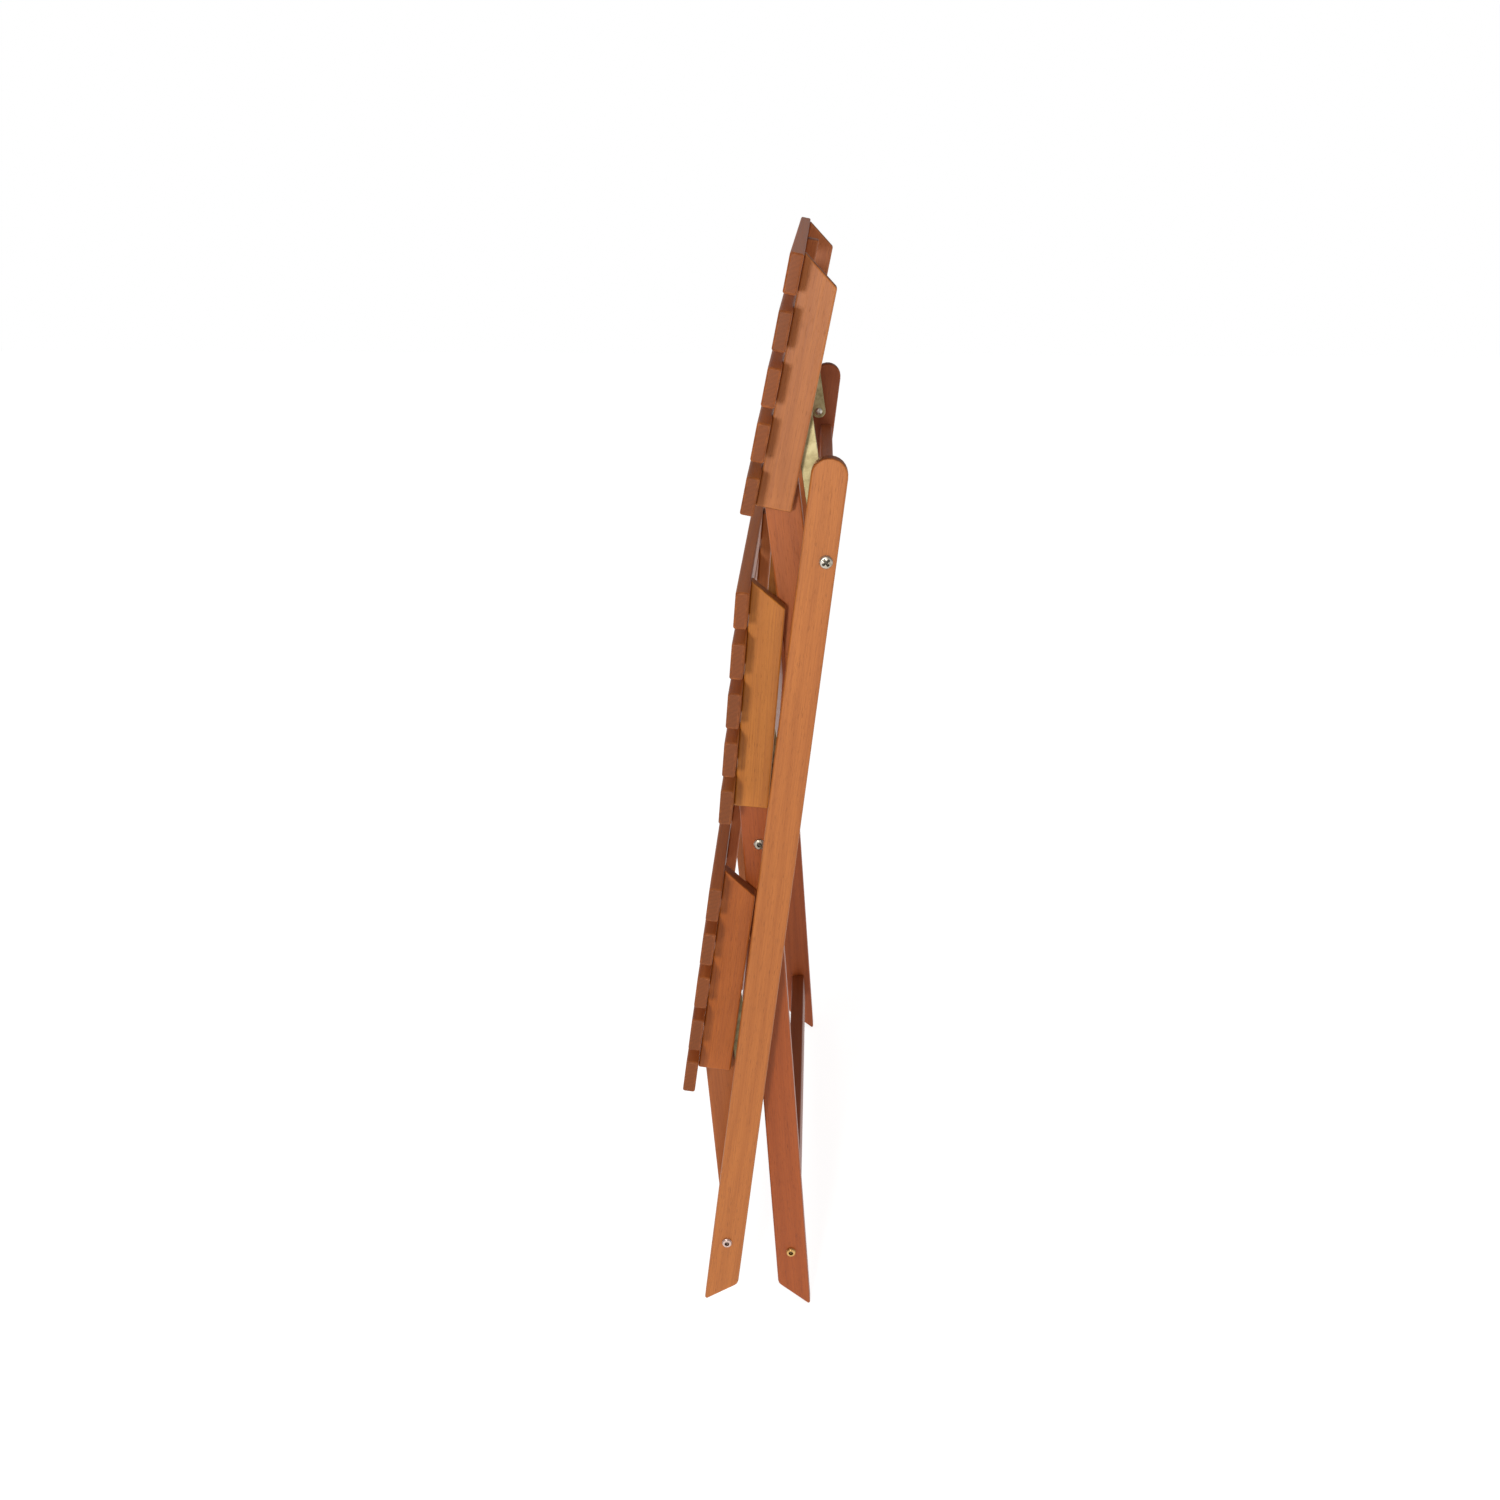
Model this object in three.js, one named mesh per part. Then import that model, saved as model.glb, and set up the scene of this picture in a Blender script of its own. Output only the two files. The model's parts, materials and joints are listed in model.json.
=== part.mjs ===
// Folding three-tier slatted stand, shown almost folded. Millimetres, +Z up, width along X, slat side towards -Y.
import * as THREE from 'three';

// ---- driving dimensions ----
const WIDTH = 730;            // over the outer faces of the long legs
const TIMBER_T = 18;          // thickness of every leg, strut and rail
const TIMBER_W = 35;          // width of every leg, strut and rail
const LAYER_GAP = 0.7;        // running gap between neighbouring layers
const ORIGIN_Y = 52.284;      // moves the bounding box centre to Y = 0
const ORIGIN_Z = 33.706;      // moves the lowest foot to Z = 0

const LEG_LEAN = 6.575;       // long leg leans back, degrees from vertical, folded
const LEG_BASE_Y = -96.94;    // where the long leg's centre line meets its own foot level
const LEG_TOP = 958;          // top of the rounded end, along the leg
const LEG_FOOT_TIP = -2;      // lowest corner, along the leg
const LEG_FOOT_CUT = 37.5;    // foot cut, degrees: flat on the floor when open

const PIVOT_MID = 436;        // middle pivot, along the leg
const PIVOT_PITCH = 307.7;    // spacing of the three pivots along the leg
const STRUT_L = 189.5;        // pivot to shelf pivot
const STRUT_END_R = 17;       // rounded strut ends
const FOLD = { top: 14.09, middle: 10.78, bottom: 11.67 };   // strut angle from the leg, folded
const TILT = { top: 4.34, middle: -2.23, bottom: 0.78 };     // shelf angle from the leg, folded

const REAR_FOOT_TIP = -471;   // rear leg: lowest corner, along the leg from the middle pivot
const REAR_FOOT_CUT = 42;

const RAIL_FRONT = -28;       // square front end of the rail, from the shelf pivot
const RAIL_REAR = 207;        // long corner of the mitred rear end
const RAIL_MITRE = 25;        // run of the mitre
const BATTEN_W = 35;          // flat strip under the slats, across the width
const BATTEN_T = 13;
const BATTEN_INSET = 4;
const SLAT_L = 794;
const SLAT_W = 36;
const SLAT_T = 12.5;
const SLAT_PITCH = 50;
const SLAT_COUNT = 5;
const SLAT_GAP = 0.3;

const LINK_PIVOT_A = 153.5;   // link pivot on the long leg, along the leg from the strut pivot
const LINK_PIVOT_B = -6;      // and towards the shelf side
const LINK_ON_RAIL = 90;      // link pivot on the rail, from the shelf pivot
const LINK_W = 18;
const LINK_T = 2.5;

const CROSSBAR_A = 860, CROSSBAR_B = 7.2, CROSSBAR_T = 15;
const FRONT_STRETCHER_A = 79.4, FRONT_STRETCHER_B = -0.9;
const REAR_LOWER = -396, REAR_UPPER = 111.7;
const PIN_R = 4, PIN_HOLE_R = 4.3;

// ---- colours ----
const WOOD = {
  leg: 0xbe7341, rear: 0xa55832, strut: 0xa05a34, railTop: 0xb9734b, railMid: 0xb97d41, railLow: 0xa55a2d,
  slat: 0xa8633c, batten: 0x9a5630, bar: 0x9c552f,
};
const STEEL = { color: 0xb8b4ac, roughness: 0.35, metalness: 0.9 };
const ZINC = { color: 0xb09a5a, roughness: 0.4, metalness: 0.85 };

const rad = (d) => d * Math.PI / 180;
const stand = new THREE.Group();
stand.name = 'folding_slatted_stand';
stand.position.set(0, ORIGIN_Y, ORIGIN_Z);

function wood(color) { return new THREE.MeshStandardMaterial({ color, roughness: 0.55, metalness: 0 }); }
function metal(m) { return new THREE.MeshStandardMaterial(m); }

// A board frame: along = up the board, across = towards +Y, both in the YZ plane. lean is degrees from vertical towards +Y.
function frameAt(y, z, lean) {
  const a = rad(lean);
  return { y, z, lean, along: [Math.sin(a), Math.cos(a)], across: [Math.cos(a), -Math.sin(a)] };
}
function pointOn(f, along, across) {
  return [f.y + f.along[0] * along + f.across[0] * across, f.z + f.along[1] * along + f.across[1] * across];
}
function place(mesh, f, x) {
  const m = new THREE.Matrix4().makeBasis(
    new THREE.Vector3(0, f.across[0], f.across[1]),
    new THREE.Vector3(0, f.along[0], f.along[1]),
    new THREE.Vector3(1, 0, 0));
  mesh.quaternion.setFromRotationMatrix(m);
  mesh.position.set(x, f.y, f.z);
  stand.add(mesh);
}
// outline: list of [across, along]; holes: list of [across, along, r]; x0..x1: span across the width.
function board(name, f, outline, holes, x0, x1, material) {
  const s = new THREE.Shape(outline.map(([p, q]) => new THREE.Vector2(p, q)));
  for (const [p, q, r] of holes) {
    const h = new THREE.Path();
    h.absarc(p, q, r, 0, Math.PI * 2, true);
    s.holes.push(h);
  }
  const g = new THREE.ExtrudeGeometry(s, { depth: x1 - x0, bevelEnabled: false, curveSegments: 10, steps: 1 });
  const mesh = new THREE.Mesh(g, material);
  mesh.name = name;
  place(mesh, f, x0);
}
// Turned piece with its axis along X. profile: list of [radius, x].
function turned(name, y, z, profile, material) {
  const g = new THREE.LatheGeometry(profile.map(([r, x]) => new THREE.Vector2(r, x)), 16);
  const mesh = new THREE.Mesh(g, material);
  mesh.name = name;
  mesh.rotation.set(0, 0, -Math.PI / 2);
  mesh.position.set(0, y, z);
  stand.add(mesh);
}
function arc(cp, cq, r, from, to, n) {
  const out = [];
  for (let i = 0; i <= n; i++) {
    const t = rad(from + (to - from) * i / n);
    out.push([cp + r * Math.cos(t), cq + r * Math.sin(t)]);
  }
  return out;
}
// Cuts each listed corner of an outline by c.
function softCorners(pts, c) {
  const out = [];
  const n = pts.length;
  for (let i = 0; i < n; i++) {
    const a = pts[(i + n - 1) % n], b = pts[i], d = pts[(i + 1) % n];
    const la = Math.hypot(a[0] - b[0], a[1] - b[1]), ld = Math.hypot(d[0] - b[0], d[1] - b[1]);
    const p = [b[0] + (a[0] - b[0]) / la * c, b[1] + (a[1] - b[1]) / la * c];
    const q = [b[0] + (d[0] - b[0]) / ld * c, b[1] + (d[1] - b[1]) / ld * c];
    out.push(p, [(p[0] + q[0] + 2 * b[0]) / 4, (p[1] + q[1] + 2 * b[1]) / 4], q);
  }
  return out;
}

// Layers, from the outer face inwards, for x > 0.
const LEG_X1 = WIDTH / 2, LEG_X0 = LEG_X1 - TIMBER_T;
const RAIL_X1 = LEG_X0 - LAYER_GAP, RAIL_X0 = RAIL_X1 - TIMBER_T;
const STRUT_X1 = RAIL_X0 - LINK_T - 2 * SLAT_GAP - 0.3, STRUT_X0 = STRUT_X1 - TIMBER_T;
const LINK_X1 = RAIL_X0 - 0.3, LINK_X0 = LINK_X1 - LINK_T;
const SIDES = [['right', 1], ['left', -1]];
const span = (side, x0, x1) => side > 0 ? [x0, x1] : [-x1, -x0];
const H = TIMBER_W / 2;

const leg = frameAt(LEG_BASE_Y, 0, LEG_LEAN);

// ---- long legs with their cross members ----
for (const [side, k] of SIDES) {
  const rise = TIMBER_W * Math.tan(rad(LEG_FOOT_CUT));
  const foot = softCorners([[H, 300], [-H, 300], [-H, LEG_FOOT_TIP], [H, LEG_FOOT_TIP + rise]], 4).slice(6, 12);
  const outline = [...foot, ...arc(0, LEG_TOP - H, H, 0, 180, 14)];
  board('long_leg_' + side, leg, outline, [], ...span(k, LEG_X0, LEG_X1), wood(WOOD.leg));
  for (const [where, a, b, r] of [['top', CROSSBAR_A, CROSSBAR_B, 6.5], ['foot', FRONT_STRETCHER_A, FRONT_STRETCHER_B, 5.5]]) {
    const [y, z] = pointOn(leg, a, b);
    const x = LEG_X1 + 0.3;
    const head = [[0, x], [r, x], [r, x + 1], [r * 0.8, x + 2.3], [r * 0.4, x + 3], [0, x + 3.2]];
    turned('long_leg_' + where + '_bolt_' + side, y, z, k > 0 ? head : head.map(([u, v]) => [u, -v]).reverse(), metal(STEEL));
  }
}
const box = (across, along, w, h) => [[across - w / 2, along - h / 2], [across + w / 2, along - h / 2], [across + w / 2, along + h / 2], [across - w / 2, along + h / 2]];
board('top_crossbar', leg, box(CROSSBAR_B, CROSSBAR_A, CROSSBAR_T, TIMBER_W), [], -LEG_X0 + 0.3, LEG_X0 - 0.3, wood(WOOD.bar));
board('front_stretcher', leg, box(FRONT_STRETCHER_B, FRONT_STRETCHER_A, TIMBER_T, TIMBER_W), [], -LEG_X0 + 0.3, LEG_X0 - 0.3, wood(WOOD.bar));

// ---- the three tiers ----
const TIERS = [['top', PIVOT_MID + PIVOT_PITCH, WOOD.railTop], ['middle', PIVOT_MID, WOOD.railMid], ['bottom', PIVOT_MID - PIVOT_PITCH, WOOD.railLow]];
for (const [tier, a, railColor] of TIERS) {
  const [py, pz] = pointOn(leg, a, 0);
  const strut = frameAt(py, pz, LEG_LEAN - FOLD[tier]);
  const [qy, qz] = pointOn(strut, STRUT_L, 0);
  const shelf = frameAt(qy, qz, LEG_LEAN + TILT[tier]);
  const holes = [[0, 0, PIN_HOLE_R], [0, STRUT_L, PIN_HOLE_R]];

  for (const [side, k] of SIDES) {
    // strut, or the rear leg on the middle tier
    const upper = arc(0, STRUT_L, STRUT_END_R, 0, 180, 12).map(([p, q]) => [p * H / STRUT_END_R, q]);
    if (tier === 'middle') {
      const rise = TIMBER_W * Math.tan(rad(REAR_FOOT_CUT));
      const foot = softCorners([[H, -200], [-H, -200], [-H, REAR_FOOT_TIP + rise], [H, REAR_FOOT_TIP]], 4).slice(6, 12);
      board('rear_leg_' + side, strut, [...foot, ...upper], holes, ...span(k, STRUT_X0, STRUT_X1), wood(WOOD.rear));
      const [by, bz] = pointOn(strut, REAR_LOWER, 0);
      const x = STRUT_X1 + 0.3;
      const head = [[0, x], [5.5, x], [5.5, x + 1], [4.4, x + 2.3], [2.2, x + 3], [0, x + 3.2]];
      turned('rear_leg_foot_bolt_' + side, by, bz, k > 0 ? head : head.map(([u, v]) => [u, -v]).reverse(), metal(ZINC));
    } else {
      board(tier + '_strut_' + side, strut, [...arc(0, 0, STRUT_END_R, 180, 360, 12).map(([p, q]) => [p * H / STRUT_END_R, q]), ...upper], holes, ...span(k, STRUT_X0, STRUT_X1), wood(WOOD.strut));
    }

    // leg pivot: spacer collar in the rail layer, shank through the strut, head inside
    const c0 = LEG_X0 - 0.3, c1 = STRUT_X1 + 0.3, c2 = STRUT_X0 - 0.3;
    const pin = [[0, c2 - 2.6], [5, c2 - 2.6], [7.5, c2 - 1.2], [7.5, c2], [PIN_R, c2], [PIN_R, c1], [8, c1], [8, c0], [0, c0]];
    turned(tier + '_leg_pivot_' + side, py, pz, k > 0 ? pin : pin.map(([u, v]) => [u, -v]).reverse(), metal(STEEL));
    // shelf pivot: shank through the strut, head inside
    const s1 = RAIL_X0 - 0.2;
    const screw = [[0, c2 - 2.6], [5, c2 - 2.6], [7.5, c2 - 1.2], [7.5, c2], [PIN_R, c2], [PIN_R, s1], [0, s1]];
    turned(tier + '_shelf_pivot_' + side, qy, qz, k > 0 ? screw : screw.map(([u, v]) => [u, -v]).reverse(), metal(STEEL));

    // side rail: square front end, mitred rear end
    const rail = [[-H, RAIL_FRONT], [H, RAIL_FRONT], [H, RAIL_REAR - RAIL_MITRE], [-H, RAIL_REAR]];
    board(tier + '_rail_' + side, shelf, rail, [], ...span(k, RAIL_X0, RAIL_X1), wood(railColor));

    // flat metal link, with a stand-off stud at its leg end
    const [sy, sz] = pointOn(leg, a + LINK_PIVOT_A, LINK_PIVOT_B);
    const [ry, rz] = pointOn(shelf, LINK_ON_RAIL, 0);
    const dy = ry - sy, dz = rz - sz;
    const len = Math.hypot(dy, dz);
    const link = frameAt(sy, sz, Math.atan2(dy, dz) * 180 / Math.PI);
    const lw = LINK_W / 2;
    board(tier + '_link_' + side, link, [...arc(0, 0, lw, 180, 360, 10), ...arc(0, len, lw, 0, 180, 10)], [], ...span(k, LINK_X0, LINK_X1), metal(ZINC));
  }

  // centre batten and slats
  board(tier + '_batten', shelf, [[-H, RAIL_FRONT + BATTEN_INSET], [-H + BATTEN_T, RAIL_FRONT + BATTEN_INSET], [-H + BATTEN_T, RAIL_REAR - BATTEN_INSET], [-H, RAIL_REAR - BATTEN_INSET]], [], -BATTEN_W / 2, BATTEN_W / 2, wood(WOOD.batten));
  for (let i = 0; i < SLAT_COUNT; i++) {
    const q0 = RAIL_FRONT + SLAT_PITCH * i;
    const p1 = -H - SLAT_GAP;
    board(tier + '_slat_' + (i + 1), shelf, [[p1 - SLAT_T, q0], [p1, q0], [p1, q0 + SLAT_W], [p1 - SLAT_T, q0 + SLAT_W]], [], -SLAT_L / 2, SLAT_L / 2, wood(WOOD.slat));
  }
  if (tier === 'middle') {
    board('rear_stretcher_lower', strut, box(0, REAR_LOWER, TIMBER_T, TIMBER_W), [], -STRUT_X0 + 0.3, STRUT_X0 - 0.3, wood(WOOD.bar));
    board('rear_stretcher_upper', strut, box(0, REAR_UPPER, TIMBER_T, TIMBER_W), [], -STRUT_X0 + 0.3, STRUT_X0 - 0.3, wood(WOOD.bar));
  }
}

export default stand;
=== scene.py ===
import json
import math
import random

import bmesh
import bpy
import numpy as np
from mathutils import Matrix, Vector


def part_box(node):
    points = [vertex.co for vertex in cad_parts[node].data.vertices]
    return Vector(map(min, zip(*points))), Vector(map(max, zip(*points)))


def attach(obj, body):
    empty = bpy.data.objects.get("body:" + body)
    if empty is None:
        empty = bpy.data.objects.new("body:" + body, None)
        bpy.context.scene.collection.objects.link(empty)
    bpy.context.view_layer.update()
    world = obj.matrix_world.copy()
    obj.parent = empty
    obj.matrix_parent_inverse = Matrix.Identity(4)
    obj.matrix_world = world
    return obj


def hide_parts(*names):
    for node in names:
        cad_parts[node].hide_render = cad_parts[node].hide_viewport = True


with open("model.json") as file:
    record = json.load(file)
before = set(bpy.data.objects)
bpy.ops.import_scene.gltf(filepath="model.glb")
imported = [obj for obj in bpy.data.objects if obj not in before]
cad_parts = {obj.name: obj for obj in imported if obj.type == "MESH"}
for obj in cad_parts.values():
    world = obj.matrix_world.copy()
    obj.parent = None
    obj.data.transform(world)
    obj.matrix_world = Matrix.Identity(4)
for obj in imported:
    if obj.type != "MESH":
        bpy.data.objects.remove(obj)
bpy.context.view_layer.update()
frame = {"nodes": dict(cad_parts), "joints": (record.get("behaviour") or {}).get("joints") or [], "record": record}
NODES = frame["nodes"]
BODY_OF = {n: b for b, ns in frame["record"]["behaviour"]["bodies"].items() for n in ns}
JOINTS = {j["name"]: j for j in frame["joints"]}
PIVOTS = [(j["pos_m"][1], j["pos_m"][2]) for j in frame["joints"]]
SCENE = bpy.context.scene

# ------------------------------------------------------------------ camera, floor and light
cam_data = bpy.data.cameras.new("camera")
cam_data.sensor_fit = "HORIZONTAL"
cam_data.sensor_width = 36.0
cam_data.lens = 1625.6 / 1500.0 * 36.0
cam_data.clip_end = 60
cam = bpy.data.objects.new("camera", cam_data)
SCENE.collection.objects.link(cam)
fwd = Vector((-0.93746434, -0.03935406, -0.3458495)).normalized()
right = Vector((-0.04196795, 0.99911896, 0.0)).normalized()
up = right.cross(fwd).normalized()
right = fwd.cross(up).normalized()
cam.matrix_world = Matrix((
    (right.x, up.x, -fwd.x, 1.8700),
    (right.y, up.y, -fwd.y, 0.052284),
    (right.z, up.z, -fwd.z, 1.25206),
    (0, 0, 0, 1)))
SCENE.camera = cam

SCENE.view_settings.view_transform = "Standard"   # plain sRGB, so that the timber keeps its own colour

world = bpy.data.worlds.new("studio")
SCENE.world = world
world.use_nodes = True
wt = world.node_tree
soft = wt.nodes["Background"]
soft.inputs["Color"].default_value = (1.0, 1.0, 1.0, 1)
soft.inputs["Strength"].default_value = 0.36
paper = wt.nodes.new("ShaderNodeBackground")
paper.inputs["Color"].default_value = (1.0, 1.0, 1.0, 1)
paper.inputs["Strength"].default_value = 1.0
seen = wt.nodes.new("ShaderNodeLightPath")
both = wt.nodes.new("ShaderNodeMixShader")
wt.links.new(seen.outputs["Is Camera Ray"], both.inputs[0])
wt.links.new(soft.outputs[0], both.inputs[1])
wt.links.new(paper.outputs[0], both.inputs[2])
wt.links.new(both.outputs[0], wt.nodes["World Output"].inputs["Surface"])

bm = bmesh.new()
bmesh.ops.create_grid(bm, x_segments=2, y_segments=2, size=9.0)
floor_mesh = bpy.data.meshes.new("floor")
bm.to_mesh(floor_mesh); bm.free()
floor = bpy.data.objects.new("floor", floor_mesh)
SCENE.collection.objects.link(floor)
floor_mat = bpy.data.materials.new("floor_paper")
floor_mat.use_nodes = True
fb = floor_mat.node_tree.nodes["Principled BSDF"]
fb.inputs["Base Color"].default_value = (0.40, 0.40, 0.40, 1)
fb.inputs["Roughness"].default_value = 0.9
fb.inputs["Emission Color"].default_value = (1, 1, 1, 1)
fb.inputs["Emission Strength"].default_value = 0.86
floor_mesh.materials.append(floor_mat)
floor.location = (0, 0, -0.0006)


def area_light(name, where, target, size, watts, tint=(1, 1, 1)):
    data = bpy.data.lights.new(name, "AREA")
    data.shape = "DISK"
    data.size = size
    data.energy = watts
    data.color = tint
    o = bpy.data.objects.new(name, data)
    SCENE.collection.objects.link(o)
    d = Vector(target) - Vector(where)
    o.matrix_world = Matrix.Translation(Vector(where)) @ d.to_track_quat("-Z", "Y").to_matrix().to_4x4()
    return o


area_light("key", (2.5, -0.34, 1.16), (0.36, 0, 0.75), 0.24, 22, (1, 0.985, 0.95))
area_light("top", (0.6, -1.4, 3.4), (0, 0, 0.6), 1.6, 25)
area_light("fill", (2.4, 2.2, 1.2), (0, 0, 0.6), 2.2, 6)

# ------------------------------------------------------------------ materials
def add(nt, kind, **props):
    n = nt.nodes.new(kind)
    for k, v in props.items():
        setattr(n, k, v)
    return n


def math_node(nt, op, a, b=None, clamp=False):
    n = add(nt, "ShaderNodeMath", operation=op, use_clamp=clamp)
    for i, v in enumerate((a, b)):
        if v is None:
            continue
        if isinstance(v, (int, float)):
            n.inputs[i].default_value = v
        else:
            nt.links.new(v, n.inputs[i])
    return n.outputs[0]


def mix_color(nt, fac, a, b, blend="MIX"):
    n = add(nt, "ShaderNodeMix", data_type="RGBA", blend_type=blend)
    n.clamp_result = False
    for sock, v in ((n.inputs[0], fac), (n.inputs[6], a), (n.inputs[7], b)):
        if isinstance(v, (int, float)):
            sock.default_value = v
        elif isinstance(v, (tuple, list)):
            sock.default_value = (*v[:3], 1)
        else:
            nt.links.new(v, sock)
    return n.outputs[2]


def noise(nt, coord, scale3, offset, scale, detail=3.0, rough=0.55, distortion=0.0):
    m = add(nt, "ShaderNodeMapping")
    m.inputs["Scale"].default_value = scale3
    m.inputs["Location"].default_value = offset
    nt.links.new(coord, m.inputs["Vector"])
    n = add(nt, "ShaderNodeTexNoise")
    n.inputs["Scale"].default_value = scale
    n.inputs["Detail"].default_value = detail
    n.inputs["Roughness"].default_value = rough
    n.inputs["Distortion"].default_value = distortion
    nt.links.new(m.outputs[0], n.inputs["Vector"])
    return n.outputs["Fac"], m.outputs[0]


def ramp(nt, fac, stops):
    n = add(nt, "ShaderNodeValToRGB")
    els = n.color_ramp.elements
    while len(els) > 1:
        els.remove(els[-1])
    els[0].position = stops[0][0]
    els[0].color = (*stops[0][1], 1) if len(stops[0][1]) == 3 else stops[0][1]
    for pos, c in stops[1:]:
        e = els.new(pos)
        e.color = (*c, 1)
    nt.links.new(fac, n.inputs[0])
    return n.outputs[0]


def lin(c):
    """sRGB 0-255 to linear."""
    out = []
    for v in c:
        v = v / 255.0
        out.append(v / 12.92 if v <= 0.04045 else ((v + 0.055) / 1.055) ** 2.4)
    return tuple(out)


def wood(name, tone, end_tone, seed, figure=0.5):
    """Oiled hardwood. The grain attribute holds the board's own coordinates: Z along the grain, X across the face, Y through it."""
    r = random.Random(seed)
    mat = bpy.data.materials.new(name)
    mat.use_nodes = True
    nt = mat.node_tree
    bsdf = nt.nodes["Principled BSDF"]
    co = add(nt, "ShaderNodeAttribute", attribute_name="grain").outputs["Vector"]
    off = tuple(r.uniform(-9, 9) for _ in range(3))
    c = lin(tone)
    dark = tuple(v * k for v, k in zip(c, (0.66, 0.56, 0.50)))
    light = tuple(min(1, v * k) for v, k in zip(c, (1.24, 1.34, 1.40)))
    # growth-ring figure: broad stretched bands
    warp, _ = noise(nt, co, (9, 9, 1.1), off, 1.0, 2.0, 0.5)
    sep = add(nt, "ShaderNodeSeparateXYZ")
    nt.links.new(co, sep.inputs[0])
    across = math_node(nt, "ADD", math_node(nt, "MULTIPLY", sep.outputs["X"], 1.0), math_node(nt, "MULTIPLY", sep.outputs["Y"], r.uniform(0.35, 0.8)))
    rings = math_node(nt, "ADD", math_node(nt, "MULTIPLY", across, r.uniform(105, 150)), math_node(nt, "MULTIPLY", warp, r.uniform(7, 11)))
    wave = math_node(nt, "PINGPONG", rings, 1.0)
    wave = math_node(nt, "POWER", wave, 1.7)
    figured = mix_color(nt, math_node(nt, "MULTIPLY", wave, figure * 0.62), c, dark)
    # broad shade drift along the board
    drift, _ = noise(nt, co, (14, 14, 2.2), tuple(v + 3 for v in off), 1.0, 3.0, 0.6)
    figured = mix_color(nt, math_node(nt, "MULTIPLY", ramp(nt, drift, [(0.42, (0, 0, 0)), (0.72, (1, 1, 1))]), 0.42), figured, light)
    # fine streaks along the grain
    streak, _ = noise(nt, co, (1050, 1050, 16), off, 1.0, 4.0, 0.62, 0.15)
    figured = mix_color(nt, math_node(nt, "MULTIPLY", ramp(nt, streak, [(0.38, (1, 1, 1)), (0.56, (0, 0, 0))]), 0.40), figured, dark)
    # pores: short dark dashes
    pore, _ = noise(nt, co, (2100, 2100, 110), tuple(v - 4 for v in off), 1.0, 1.0, 0.4)
    pores = ramp(nt, pore, [(0.64, (0, 0, 0)), (0.72, (1, 1, 1))])
    figured = mix_color(nt, math_node(nt, "MULTIPLY", pores, 0.42), figured, tuple(v * 0.42 for v in dark))
    # end grain: darker, with fine speckle
    endness = add(nt, "ShaderNodeAttribute", attribute_name="end_cut").outputs["Fac"]
    speck, _ = noise(nt, co, (1500, 1500, 1500), off, 1.0, 3.0, 0.6)
    arcs = math_node(nt, "PINGPONG", math_node(nt, "ADD", math_node(nt, "MULTIPLY", across, 420), math_node(nt, "MULTIPLY", warp, 9)), 1.0)
    e = lin(end_tone)
    end = mix_color(nt, math_node(nt, "MULTIPLY", arcs, 0.35), e, tuple(v * 0.66 for v in e))
    end = mix_color(nt, math_node(nt, "MULTIPLY", ramp(nt, speck, [(0.45, (0, 0, 0)), (0.62, (1, 1, 1))]), 0.35), end, tuple(v * 0.5 for v in e))
    figured = mix_color(nt, endness, figured, end)
    # arrises a little paler and rubbed: partly wear, partly a painted highlight along the edges
    at = add(nt, "ShaderNodeAttribute", attribute_name="arris_wear_and_highlight")
    rub, _ = noise(nt, co, (160, 160, 40), tuple(v + 7 for v in off), 1.0, 3.0, 0.6)
    wear_and_highlight = math_node(nt, "MULTIPLY", at.outputs["Fac"], ramp(nt, rub, [(0.42, (0, 0, 0)), (0.66, (1, 1, 1))]), True)
    figured = mix_color(nt, math_node(nt, "MULTIPLY", wear_and_highlight, 0.30), figured, tuple(min(1, v * 1.1) for v in light))
    nt.links.new(figured, bsdf.inputs["Base Color"])
    # satin oil finish
    rough = math_node(nt, "ADD", math_node(nt, "MULTIPLY", streak, 0.22), 0.36)
    rough = math_node(nt, "ADD", rough, math_node(nt, "MULTIPLY", endness, 0.16), True)
    nt.links.new(rough, bsdf.inputs["Roughness"])
    bsdf.inputs["Specular IOR Level"].default_value = 0.32
    bsdf.inputs["Coat Weight"].default_value = 0.08
    bsdf.inputs["Coat Roughness"].default_value = 0.32
    height = math_node(nt, "SUBTRACT", math_node(nt, "MULTIPLY", streak, 0.6), math_node(nt, "MULTIPLY", pores, 0.7))
    bump = add(nt, "ShaderNodeBump")
    bump.inputs["Strength"].default_value = 0.32
    bump.inputs["Distance"].default_value = 0.00035
    nt.links.new(height, bump.inputs["Height"])
    nt.links.new(bump.outputs[0], bsdf.inputs["Normal"])
    return mat


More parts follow.
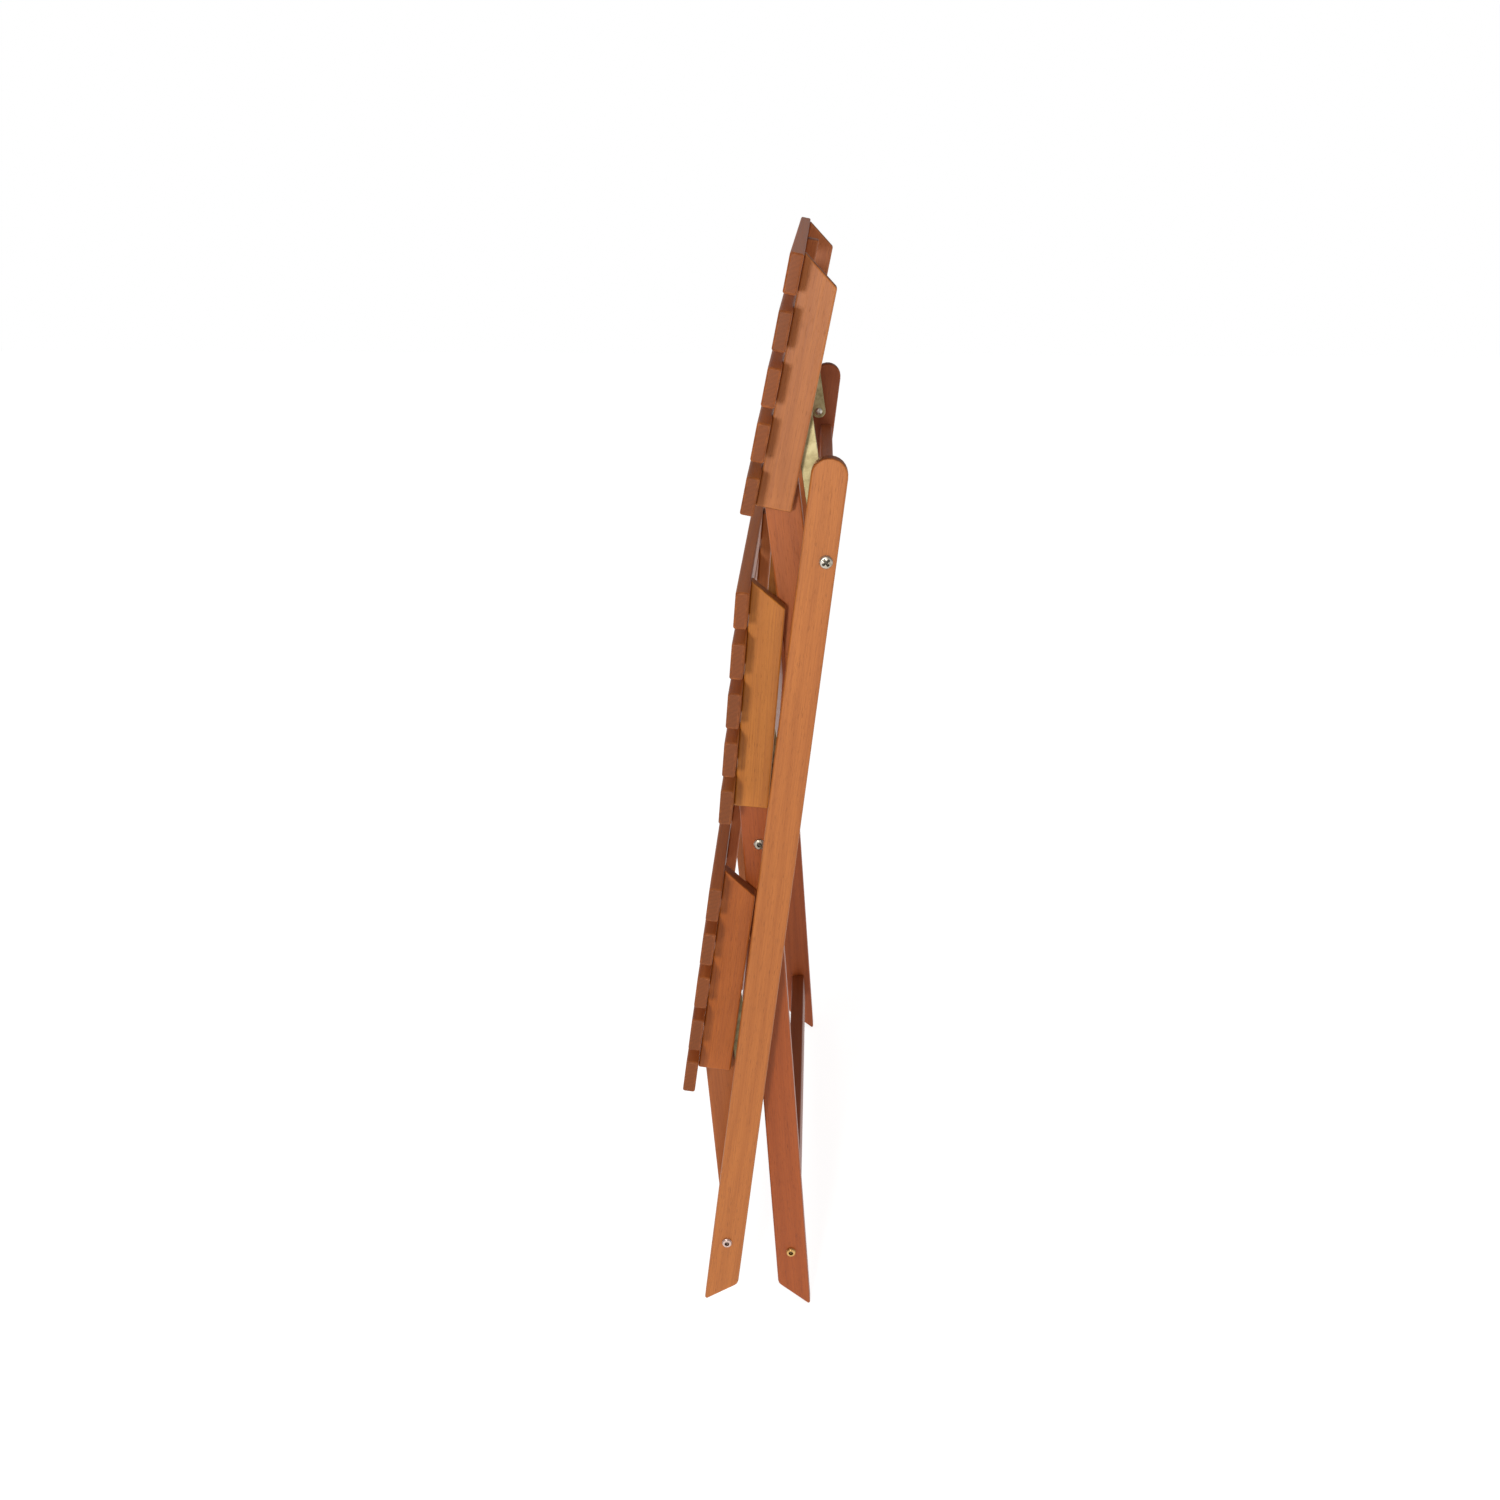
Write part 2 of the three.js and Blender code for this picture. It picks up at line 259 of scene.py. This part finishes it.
def metal(name, tone, tarnish, seed, rough=0.28):
    r = random.Random(seed)
    mat = bpy.data.materials.new(name)
    mat.use_nodes = True
    nt = mat.node_tree
    bsdf = nt.nodes["Principled BSDF"]
    tc = add(nt, "ShaderNodeTexCoord")
    off = tuple(r.uniform(-5, 5) for _ in range(3))
    cloud, _ = noise(nt, tc.outputs["Object"], (90, 90, 90), off, 1.0, 4.0, 0.6)
    brushed, _ = noise(nt, tc.outputs["Object"], (2600, 2600, 60), off, 1.0, 2.0, 0.5)
    col = mix_color(nt, ramp(nt, cloud, [(0.40, (0, 0, 0)), (0.68, (1, 1, 1))]), lin(tone), lin(tarnish))
    # painted shade: the drive recess is darkened almost to black
    recess_shade_mask = add(nt, "ShaderNodeAttribute", attribute_name="recess")
    col = mix_color(nt, math_node(nt, "MULTIPLY", recess_shade_mask.outputs["Fac"], 0.85), col, (0.035, 0.028, 0.02))
    nt.links.new(col, bsdf.inputs["Base Color"])
    bsdf.inputs["Metallic"].default_value = 0.95
    rg = math_node(nt, "ADD", math_node(nt, "MULTIPLY", cloud, 0.25), rough - 0.1)
    nt.links.new(rg, bsdf.inputs["Roughness"])
    bump = add(nt, "ShaderNodeBump")
    bump.inputs["Strength"].default_value = 0.15
    bump.inputs["Distance"].default_value = 0.0002
    nt.links.new(brushed, bump.inputs["Height"])
    nt.links.new(bump.outputs[0], bsdf.inputs["Normal"])
    return mat


# ------------------------------------------------------------------ wooden pieces
TONES = {
    "leg": ((180, 105, 46), (136, 72, 28)),
    # leg_far_shaded: the leg tone darkened as painted shade for the shaded inner face of the far leg
    "leg_far_shaded": ((158, 80, 36), (128, 62, 28)),
    "rear": ((164, 80, 28), (118, 54, 22)),
    "strut": ((190, 102, 40), (126, 60, 24)),
    "strut_low": ((168, 90, 40), (118, 56, 24)),
    "rail_top": ((180, 107, 54), (138, 72, 28)),
    "rail_mid": ((190, 114, 42), (142, 82, 30)),
    "rail_low": ((174, 92, 28), (124, 60, 18)),
    "slat": ((156, 84, 34), (128, 64, 16)),
    "bar": ((140, 70, 32), (108, 52, 24)),
    # batten: the bar wood made paler as painted light, offsetting the shade on the top crossbar and battens
    "batten": ((172, 96, 46), (130, 68, 30)),
}


def tone_of(node):
    if node.startswith("long_leg"):
        # the far long leg takes the darker painted-shade copy of the leg tone
        return "leg_far_shaded" if node.endswith("left") else "leg"
    if node.startswith("rear_leg"):
        return "rear"
    if "_strut_" in node:
        return "strut_low" if node.startswith("bottom") else "strut"
    if "_rail_" in node:
        return {"top": "rail_top", "middle": "rail_mid", "bottom": "rail_low"}[node.split("_")[0]]
    if "_slat_" in node:
        return "slat"
    # the top crossbar and battens take the paler painted-light tone
    if node == "top_crossbar" or node.endswith("_batten"):
        return "batten"
    return "bar"


def board_frame(co):
    """Centre, and a rotation whose Z is the board's length and X its width."""
    lo, hi = co.min(0), co.max(0)
    mid = (lo + hi) / 2
    if hi[0] - lo[0] > 0.3:                       # slat or cross member: length runs along X
        length = np.array([1.0, 0, 0])
        yz = co[:, 1:] - co[:, 1:].mean(0)
        w, v = np.linalg.eigh(yz.T @ yz)
        width = np.array([0, v[0, 1], v[1, 1]])
    else:
        yz = co[:, 1:] - co[:, 1:].mean(0)
        w, v = np.linalg.eigh(yz.T @ yz)
        length = np.array([0, v[0, 1], v[1, 1]])
        if length[2] < 0:
            length = -length
        width = np.cross(length, [1.0, 0, 0])
    third = np.cross(length, width)
    return mid, np.array([width, third, length]).T


def smoothstep(a, b, x):
    t = min(max((x - a) / (b - a), 0), 1)
    return t * t * (3 - 2 * t)


def rounded_board(node, radius, seed):
    src = NODES[node]
    bm = bmesh.new()
    bm.from_mesh(src.data)
    bmesh.ops.remove_doubles(bm, verts=bm.verts, dist=2e-6)
    bmesh.ops.dissolve_limit(bm, angle_limit=math.radians(0.6), verts=bm.verts, edges=bm.edges)
    co = np.array([v.co for v in bm.verts], float)
    mid, rot = board_frame(co)
    m = Matrix.Translation(Vector(mid)) @ Matrix(rot.tolist()).to_4x4()
    chosen = []
    for e in bm.edges:
        if len(e.link_faces) != 2 or e.calc_face_angle(0) < math.radians(28):
            continue
        in_hole = any(all(math.hypot(v.co.y - py, v.co.z - pz) < 0.0055 for v in e.verts) for py, pz in PIVOTS)
        if not in_hole:
            chosen.append(e)
    planes = []
    for f in bm.faces:
        n = np.array(f.normal)
        d = float(n @ np.array(f.verts[0].co))
        if float((co @ n).max()) <= d + 2e-5:
            planes.append((Vector(n), d))
    bmesh.ops.bevel(bm, geom=chosen, offset=radius, offset_type="OFFSET", segments=4, profile=0.5,
                    affect="EDGES", clamp_overlap=True, miter_outer="SHARP")
    for _ in range(3):
        for v in bm.verts:
            for n, d in planes:
                over = n.dot(v.co) - d
                if over > 1e-7:
                    v.co -= n * over
    if "_slat_" in node:                          # seat the slat on its rails
        lo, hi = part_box(node.split("_")[0] + "_rail_right")
        back = Vector(rot[:, 1]) if abs(rot[1, 1]) > abs(rot[1, 0]) else Vector(rot[:, 0])
        if back.dot((lo + hi) / 2 - Vector(mid)) < 0:
            back = -back
        for v in bm.verts:
            if back.dot(v.co - Vector(mid)) > 0:
                v.co += back * 0.00027
    small = max(f.calc_area() for f in bm.faces) * 0.02
    # arris mask on the bevel faces: paler as partly wear and partly painted highlight
    layer = bm.loops.layers.float.new("arris_wear_and_highlight")
    cut = bm.loops.layers.float.new("end_cut")
    grain = bm.verts.layers.float_vector.new("grain")
    inv = m.inverted()
    for v in bm.verts:
        v[grain] = inv @ v.co
    along = Vector(rot[:, 2])
    for f in bm.faces:
        n = f.normal
        lengthwise = smoothstep(0.42, 0.66, abs(n.dot(along)))
        for l in f.loops:
            l[cut] = lengthwise
        flat = max(abs(n.dot(Vector(rot[:, i]))) for i in range(3)) > 0.995
        value = 0.0 if (flat or f.calc_area() > small) else 1.0
        for l in f.loops:
            l[layer] = value
        f.smooth = True
    bmesh.ops.recalc_face_normals(bm, faces=bm.faces)
    mesh = bpy.data.meshes.new("look_" + node)
    bm.to_mesh(mesh)
    bm.free()
    o = bpy.data.objects.new("look_" + node, mesh)
    SCENE.collection.objects.link(o)
    mesh.set_sharp_from_angle(angle=math.radians(40))
    mod = o.modifiers.new("normals", "WEIGHTED_NORMAL")
    mod.keep_sharp = True
    r = random.Random(seed * 7 + 1)
    tone, end = TONES[tone_of(node)]
    k = r.uniform(0.93, 1.06) if tone_of(node) in ("slat", "bar", "strut") else 1.0
    warm = r.uniform(-0.03, 0.03)
    tone = (tone[0] * k, tone[1] * k * (1 + warm), tone[2] * k * (1 - warm))
    mesh.materials.append(wood("oiled_" + node, tone, tuple(v * k for v in end), seed, r.uniform(0.35, 0.75)))
    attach(o, BODY_OF[node])
    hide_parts(node)
    return o


WOODEN = [n for n in sorted(NODES) if not any(k in n for k in ("bolt", "pivot", "link"))]
for i, node in enumerate(WOODEN):
    rounded_board(node, 0.0022 if "_slat_" in node else 0.0026 if ("leg_" in node) else 0.002, 101 + i)

# ------------------------------------------------------------------ metal pieces
STEEL = metal("nickel_plated_steel", (206, 200, 190), (160, 150, 132), 5)
PINKISH = metal("rosy_steel", (214, 190, 180), (176, 140, 124), 6)
BRASSY = metal("yellow_zinc", (216, 176, 112), (176, 128, 74), 7)
LINK_ZINC = metal("link_zinc", (176, 164, 124), (128, 116, 80), 8, 0.34)


def hex_reach(x, y):
    return max(abs(math.cos(a) * x + math.sin(a) * y) for a in (0, math.pi / 3, 2 * math.pi / 3))


def screw_head(name, pos, side, r, h, drive, mat, body, node=None):
    """Domed head with a washer skirt and a driven recess, facing +X or -X. pos is the middle of its seat."""
    rings, seg = 24, 72
    faces = []

    def inside(px, py):
        if drive == "cross":
            arm = min(max(abs(px) / (0.15 * r), abs(py) / (0.58 * r)), max(abs(py) / (0.15 * r), abs(px) / (0.58 * r)))
            return smoothstep(1.15, 0.85, arm)
        return smoothstep(1.08, 0.92, hex_reach(px, py) / (0.40 * r))

    def height(px, py):
        rr = math.hypot(px, py) / r
        z = h * (0.42 + 0.58 * math.sqrt(max(0, 1 - (rr * 0.96) ** 2)))
        edge = smoothstep(1.0, 0.86, rr)
        z = 0.28 * h + (z - 0.28 * h) * edge
        return max(z - 0.66 * h * inside(px, py), 0.10 * h)

    verts = [(0.0, 0.0, height(0, 0))]
    for i in range(1, rings + 1):
        rad = r * i / rings
        for k in range(seg):
            a = 2 * math.pi * k / seg
            x, y = rad * math.cos(a), rad * math.sin(a)
            verts.append((x, y, height(x, y)))
    for k in range(seg):
        faces.append((0, 1 + k, 1 + (k + 1) % seg))
    for i in range(rings - 1):
        for k in range(seg):
            a, b = 1 + i * seg + k, 1 + i * seg + (k + 1) % seg
            faces.append((a, a + seg, b + seg, b))
    base = len(verts)
    last = 1 + (rings - 1) * seg
    for k in range(seg):
        verts.append((verts[last + k][0], verts[last + k][1], 0.0))
    for k in range(seg):
        k2 = (k + 1) % seg
        faces.append((last + k, base + k, base + k2, last + k2))
    faces.append(tuple(base + k for k in reversed(range(seg))))
    mesh = bpy.data.meshes.new(name)
    mesh.from_pydata(verts, [], faces)
    mesh.validate()
    bmx = bmesh.new()
    bmx.from_mesh(mesh)
    bmesh.ops.recalc_face_normals(bmx, faces=bmx.faces)
    for f in bmx.faces:
        f.smooth = True
    bmx.to_mesh(mesh)
    bmx.free()
    mesh.set_sharp_from_angle(angle=math.radians(38))
    # recess mask for the metal material, which paints the drive recess dark as painted shade
    recess_shade_mask = mesh.attributes.new("recess", "FLOAT", "POINT")
    recess_shade_mask.data.foreach_set("value", [float(inside(v.co.x, v.co.y)) if v.co.z > 1e-5 else 0.0 for v in mesh.vertices])
    mesh.materials.append(mat)
    o = bpy.data.objects.new(name, mesh)
    SCENE.collection.objects.link(o)
    turn = random.Random(name).uniform(0, 1.2)
    rot = Matrix.Rotation(math.pi / 2 * side, 4, "Y") @ Matrix.Rotation(turn, 4, "Z")
    o.matrix_world = Matrix.Translation(Vector(pos)) @ rot
    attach(o, body)
    if node:
        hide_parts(node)
    return o


for node in sorted(n for n in NODES if "bolt" in n):
    lo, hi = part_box(node)
    side = 1 if lo.x > 0 else -1
    seat = lo.x if side > 0 else hi.x
    mid = (lo + hi) / 2
    r = (hi.z - lo.z) / 2
    drive = "cross" if "top" in node else "hex"
    mat = STEEL if "top" in node else PINKISH if "long" in node else BRASSY
    screw_head("look_" + node, (seat, mid.y, mid.z), side, r, hi.x - lo.x, drive, mat, BODY_OF[node], node)


def turned(name, node, profile, mat, pos, side, body, seg=48):
    """A turned piece about the X axis; profile is [(radius, x)] from axis to axis."""
    verts, faces, rows = [], [], []
    for r, x in profile:
        if r < 1e-9:
            rows.append([len(verts)])
            verts.append((x * side, 0, 0))
        else:
            rows.append(list(range(len(verts), len(verts) + seg)))
            verts += [(x * side, r * math.cos(2 * math.pi * k / seg), r * math.sin(2 * math.pi * k / seg)) for k in range(seg)]
    for a, b in zip(rows, rows[1:]):
        for k in range(seg):
            k2 = (k + 1) % seg
            if len(a) == 1 and len(b) > 1:
                faces.append((a[0], b[k], b[k2]))
            elif len(b) == 1 and len(a) > 1:
                faces.append((a[k], b[0], a[k2]))
            elif len(a) > 1:
                faces.append((a[k], b[k], b[k2], a[k2]))
    mesh = bpy.data.meshes.new(name)
    mesh.from_pydata(verts, [], faces)
    bmx = bmesh.new()
    bmx.from_mesh(mesh)
    bmesh.ops.recalc_face_normals(bmx, faces=bmx.faces)
    for f in bmx.faces:
        f.smooth = True
    bmx.to_mesh(mesh)
    bmx.free()
    mesh.set_sharp_from_angle(angle=math.radians(32))
    mesh.materials.append(mat)
    o = bpy.data.objects.new(name, mesh)
    SCENE.collection.objects.link(o)
    o.matrix_world = Matrix.Translation(Vector(pos))
    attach(o, body)
    if node:
        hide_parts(node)
    return o


# pivot screws: rounded heads, a small chamfer at each shoulder
for node in sorted(n for n in NODES if "pivot" in n):
    lo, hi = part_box(node)
    side = 1 if lo.x > 0 else -1
    mid = (lo + hi) / 2
    inner = lo.x if side > 0 else -hi.x
    outer = hi.x if side > 0 else -lo.x
    seat = inner + 0.0026
    prof = [(0, inner), (0.0030, inner), (0.0052, inner + 0.0004), (0.0068, inner + 0.0011), (0.0075, inner + 0.0019), (0.0075, seat - 0.0002), (0.0073, seat), (0.0040, seat)]
    if "leg_pivot" in node:
        collar = seat + 0.0003 + 0.018 + 0.0003
        prof += [(0.0040, collar), (0.0077, collar), (0.0080, collar + 0.0004), (0.0080, outer - 0.0004), (0.0077, outer), (0, outer)]
    else:
        prof += [(0.0040, outer - 0.0004), (0.0036, outer), (0, outer)]
    turned("look_" + node, node, prof, STEEL, (0, mid.y, mid.z), side, BODY_OF[node])

# flat links: rounded edges, with a domed rivet on the inner face at each end and a sleeve behind the leg end
for node in sorted(n for n in NODES if "link" in n):
    lo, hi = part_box(node)
    side = 1 if lo.x > 0 else -1
    tier = node.split("_")[0]
    bm = bmesh.new()
    bm.from_mesh(NODES[node].data)
    bmesh.ops.remove_doubles(bm, verts=bm.verts, dist=2e-6)
    bmesh.ops.dissolve_limit(bm, angle_limit=math.radians(0.6), verts=bm.verts, edges=bm.edges)
    co = np.array([v.co for v in bm.verts], float)
    mid, rot = board_frame(co)
    m = Matrix.Translation(Vector(mid)) @ Matrix(rot.tolist()).to_4x4()
    rim = [e for e in bm.edges if len(e.link_faces) == 2 and e.calc_face_angle(0) > math.radians(60)]
    bmesh.ops.bevel(bm, geom=rim, offset=0.0005, segments=3, profile=0.5, affect="EDGES", clamp_overlap=True)
    for f in bm.faces:
        f.smooth = True
    bm.transform(m.inverted())
    bmesh.ops.recalc_face_normals(bm, faces=bm.faces)
    mesh = bpy.data.meshes.new("look_" + node)
    bm.to_mesh(mesh)
    bm.free()
    mesh.set_sharp_from_angle(angle=math.radians(40))
    mesh.materials.append(LINK_ZINC)
    o = bpy.data.objects.new("look_" + node, mesh)
    SCENE.collection.objects.link(o)
    o.matrix_world = m
    o.modifiers.new("normals", "WEIGHTED_NORMAL")
    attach(o, BODY_OF[node])
    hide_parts(node)
    pivot = JOINTS[tier + "_link_swing"]["pos_m"]
    rail_end = Vector((mid[0], pivot[1], pivot[2]))
    leg_end = Vector(mid) * 2 - rail_end
    inner = (lo.x if side > 0 else -hi.x)
    outer = (hi.x if side > 0 else -lo.x)
    dome = [(0, inner - 0.0016), (0.0018, inner - 0.0015), (0.0034, inner - 0.0011), (0.0044, inner - 0.0005), (0.0046, inner - 0.00005), (0, inner - 0.00005)]
    for which, p in (("leg", leg_end), ("rail", rail_end)):
        turned("look_%s_link_rivet_%s_%s" % (tier, which, "right" if side > 0 else "left"), None, dome, STEEL, (0, p.y, p.z), side, BODY_OF[node])
    sleeve = [(0, outer + 0.0002), (0.0052, outer + 0.0002), (0.0055, outer + 0.0006), (0.0055, 0.3463), (0.0052, 0.3467), (0, 0.3467)]
    turned("look_%s_link_sleeve_%s" % (tier, "right" if side > 0 else "left"), None, sleeve, LINK_ZINC, (0, leg_end.y, leg_end.z), side, "frame")

# the screws of the rear frame's upper stretcher
lo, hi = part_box("rear_stretcher_upper")
mid = (lo + hi) / 2
leg_lo, leg_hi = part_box("rear_leg_right")
for side, word in ((1, "right"), (-1, "left")):
    x = (leg_hi.x + 0.0002) * side
    screw_head("look_rear_leg_upper_bolt_" + word, (x, mid.y, mid.z), side, 0.0058, 0.0026, "hex", STEEL, "rear_frame")
